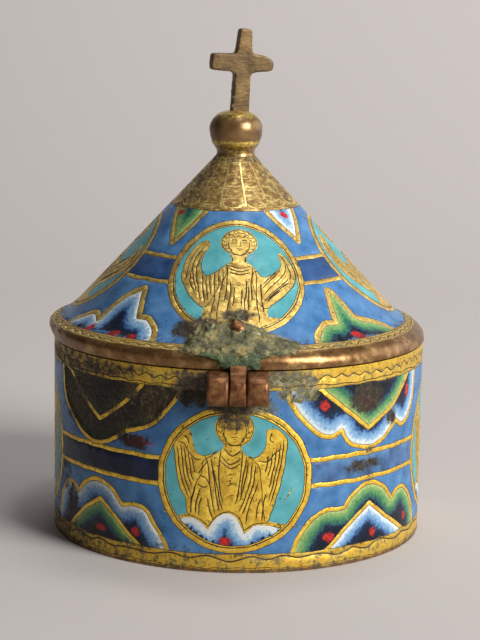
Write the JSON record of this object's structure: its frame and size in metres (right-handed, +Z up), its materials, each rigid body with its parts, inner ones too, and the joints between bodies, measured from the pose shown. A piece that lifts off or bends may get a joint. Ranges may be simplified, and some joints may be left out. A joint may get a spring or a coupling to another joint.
{
  "type": "pyx",
  "caption": "Small round enamelled copper box with a conical hinged lid, a ball knop and a cross on top.",
  "frame": {"origin": "centre of the box's underside, on the table", "axes": "+Z up through the lid; -Y towards the hinge, which faces the viewer of the picture; +X to the viewer's right"},
  "size_m": [0.0681, 0.0729, 0.0901],
  "materials": {
    "box_enamel": "gilt copper with polished blue, turquoise, green, red and white enamel",
    "lid_enamel": "gilt copper with polished blue, turquoise, green, red and white enamel",
    "floor_gilt": "worn gilding",
    "knop_copper": "polished brown copper with gilding in the hollows",
    "cross_gilt": "filed, rubbed gilding",
    "hinge_copper": "bare brown copper",
    "leaf_copper": "grey-green solder and tarnish",
    "pin_copper": "bare dark copper"
  },
  "bodies": {
    "box": {"box_wall": "box_enamel", "box_floor": "floor_gilt", "hinge_knuckle_left": "hinge_copper", "hinge_knuckle_right": "hinge_copper", "hinge_pin": "pin_copper"},
    "lid": {"lid_cone": "lid_enamel", "knop": "knop_copper", "cross": "cross_gilt", "hinge_leaf": "leaf_copper"}
  },
  "joints": [
    {"name": "lid_hinge", "type": "hinge", "parent": "box", "child": "lid", "pos_m": [0, -0.03644, 0.03216], "axis": [1, 0, 0], "range_deg": [0, 110]}
  ]
}
